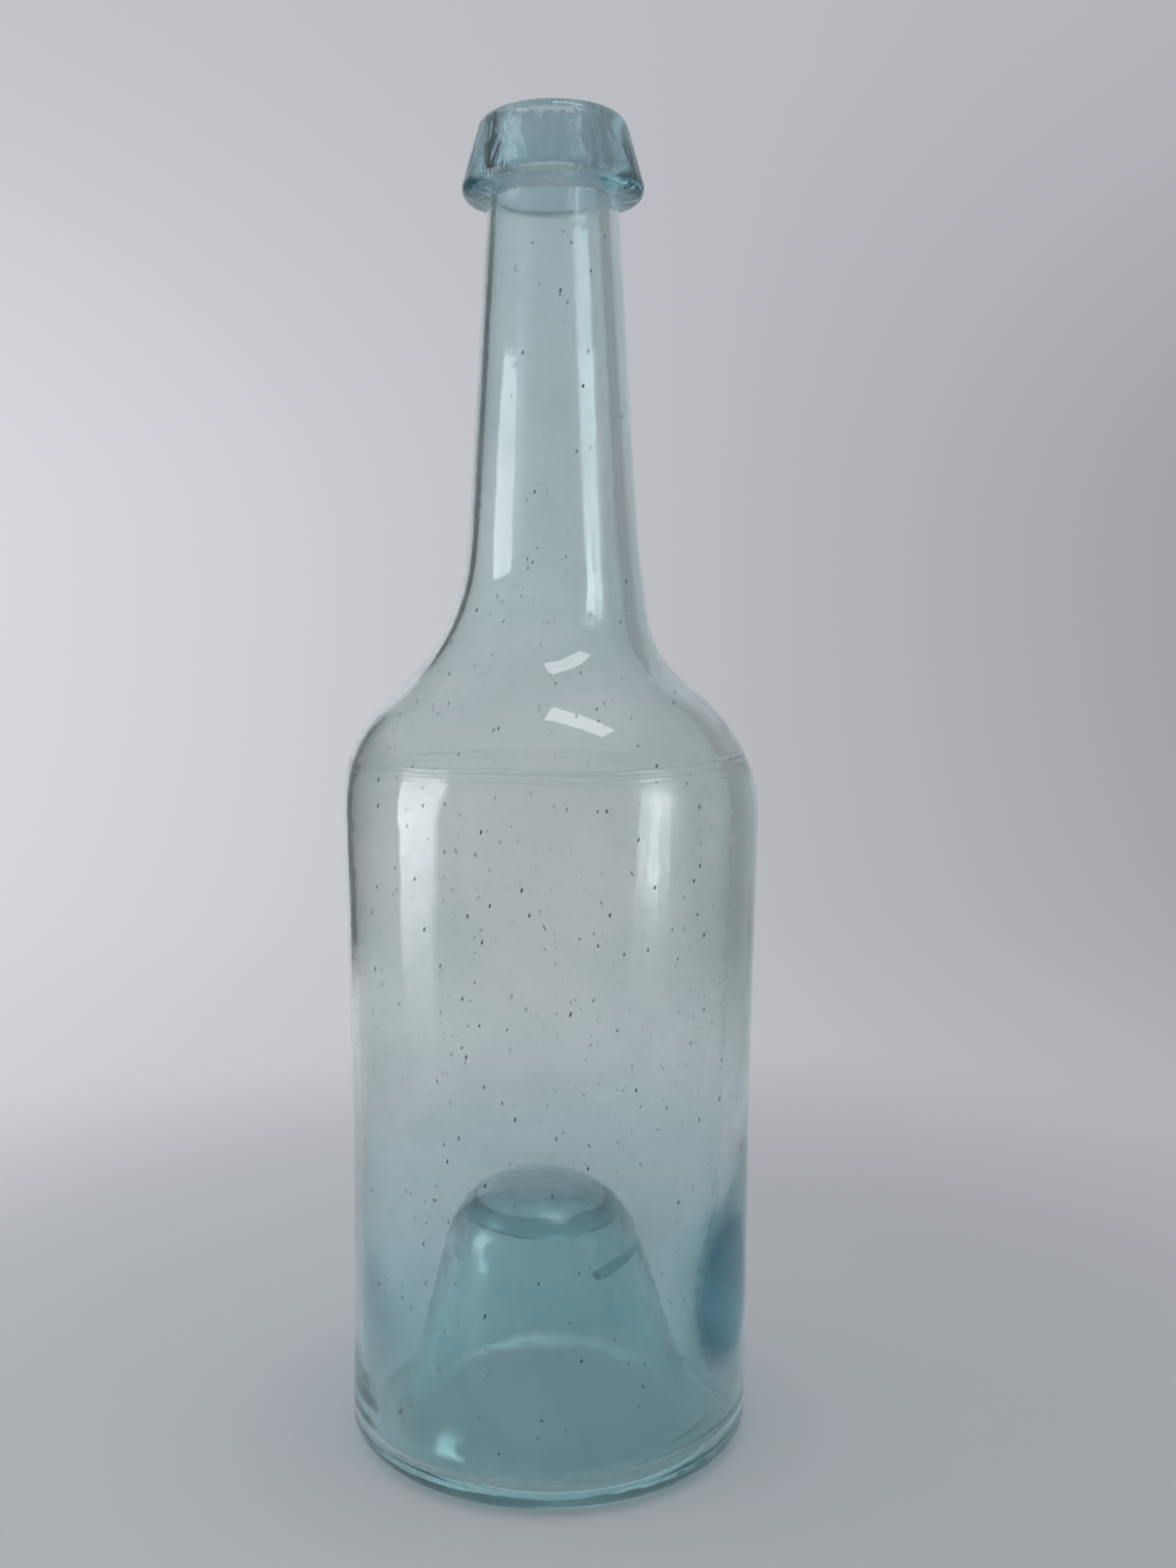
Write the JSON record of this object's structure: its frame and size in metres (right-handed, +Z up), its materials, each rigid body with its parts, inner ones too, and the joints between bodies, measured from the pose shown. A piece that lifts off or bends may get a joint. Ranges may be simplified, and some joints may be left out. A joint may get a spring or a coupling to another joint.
{
  "type": "glass bottle",
  "caption": "Mould-blown aqua glass bottle with a long tapering neck, an applied sloping-collar lip and a deep push-up; holds and pours liquid.",
  "frame": {"origin": "centre of the ring that the bottle stands on, in the resting plane", "axes": "+Z up along the bottle towards the mouth, -Y towards the front, +X to the right"},
  "size_m": [0.0922, 0.0922, 0.29],
  "materials": {
    "aqua_glass": "pale aqua blown glass, glossy, with small seeds and a faint bloom",
    "lip_glass": "same glass, thicker and so deeper in colour, with tooling marks",
    "pontil_glass": "same glass, rough where the rod broke away"
  },
  "bodies": {
    "root": {"bottle_body": "aqua_glass", "applied_lip": "lip_glass", "pontil_scar": "pontil_glass", "pontil_string": "pontil_glass"}
  },
  "joints": []
}
